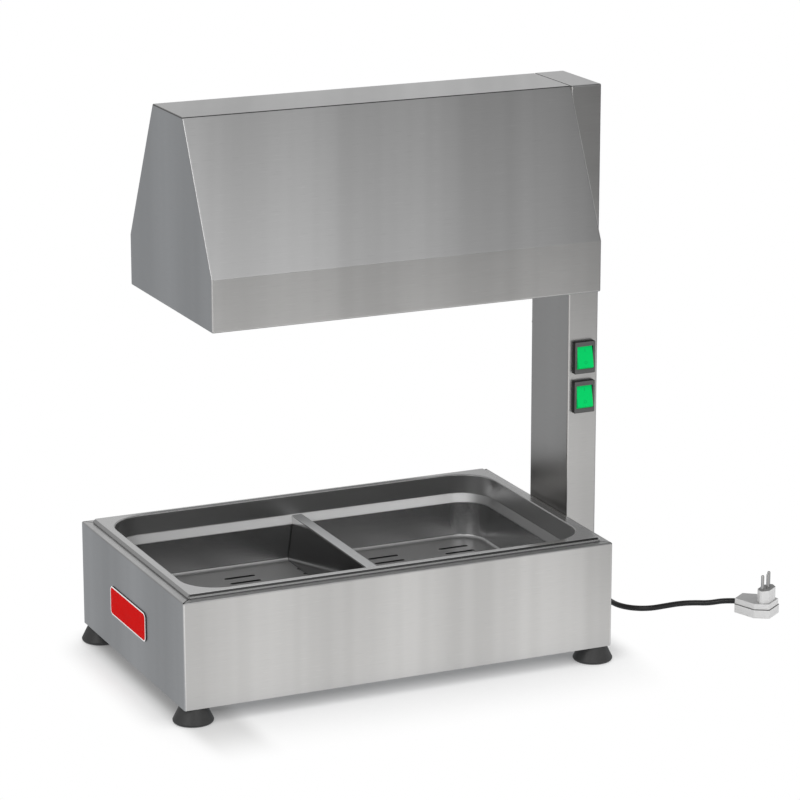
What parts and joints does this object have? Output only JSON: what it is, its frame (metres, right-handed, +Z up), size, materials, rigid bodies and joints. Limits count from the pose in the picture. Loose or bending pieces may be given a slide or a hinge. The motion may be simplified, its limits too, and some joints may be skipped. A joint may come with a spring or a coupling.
{
  "type": "fry warmer",
  "caption": "Countertop fry warmer: slotted food pan with a lift-out divider in a folded steel base, under a sloped lamp hood on a side column with lit rocker switches, mains cord and plug.",
  "frame": {"origin": "on the floor, below the middle of the machine's box without its cord", "axes": "+Z up, +X to the column's side, -Y to the front with the switches"},
  "size_m": [0.8355, 0.36, 0.683],
  "materials": {
    "stainless": "satin",
    "pan_steel": "satin",
    "fasteners": "satin",
    "black_rubber": "matte",
    "red_plate": "gloss",
    "black_plastic": "satin",
    "green_lens": "gloss",
    "brass": "polished",
    "pale_plastic": "matte",
    "plug_grey": "satin",
    "wire_sleeve": "matte",
    "porcelain": "gloss",
    "lamp_cap": "satin",
    "lamp_glass": "gloss"
  },
  "bodies": {
    "warmer": {"backing_plate": "stainless", "base_casing": "stainless", "block_screws": "fasteners", "bottom_panel": "stainless", "column_bolts": "fasteners", "column_cover": "stainless", "column_nuts": "fasteners", "column_shell": "stainless", "cord_gland": "black_plastic", "cover_screws": "fasteners", "earth_stud": "fasteners", "earth_wire": "wire_sleeve", "foot_front_left": "black_rubber", "foot_front_right": "black_rubber", "foot_nuts": "fasteners", "foot_rear_left": "black_rubber", "foot_rear_right": "black_rubber", "foot_screws": "fasteners", "gland_nut": "black_plastic", "holder_nipples": "fasteners", "holder_nuts": "fasteners", "hood_bolts": "fasteners", "hood_nuts": "fasteners", "hood_shell": "stainless", "lamp_bracket": "stainless", "lamp_bulb_left": "lamp_glass", "lamp_bulb_right": "lamp_glass", "lamp_cap_left": "lamp_cap", "lamp_cap_right": "lamp_cap", "lamp_lead_left": "wire_sleeve", "lamp_lead_right": "wire_sleeve", "lampholder_left": "porcelain", "lampholder_right": "porcelain", "nameplate": "red_plate", "plug_base": "plug_grey", "plug_pins": "brass", "plug_top": "plug_grey", "power_cord": "black_rubber", "supply_tail": "black_rubber", "switch_blades": "brass", "switch_body_lower": "black_plastic", "switch_body_upper": "black_plastic", "switch_feed": "wire_sleeve", "switch_jumper": "wire_sleeve", "terminal_block": "pale_plastic", "wire_grommet": "black_rubber"},
    "rocker_upper": {"rocker_upper": "green_lens"},
    "rocker_lower": {"rocker_lower": "green_lens"},
    "pan": {"pan": "pan_steel"},
    "pan_divider": {"pan_divider": "pan_steel"}
  },
  "joints": [
    {"name": "rocker_upper_tilt", "type": "hinge", "parent": "warmer", "child": "rocker_upper", "pos_m": [0.27875, -0.0488, 0.349], "axis": [1, 0, 0], "range_deg": [0, 24]},
    {"name": "rocker_lower_tilt", "type": "hinge", "parent": "warmer", "child": "rocker_lower", "pos_m": [0.27875, -0.0488, 0.2997], "axis": [1, 0, 0], "range_deg": [0, 24]},
    {"name": "pan_lift", "type": "slide", "parent": "warmer", "child": "pan", "axis": [0, 0, 1], "range_m": [0, 0.1]},
    {"name": "divider_lift", "type": "slide", "parent": "pan", "child": "pan_divider", "axis": [0, 0, 1], "range_m": [0, 0.09]}
  ]
}
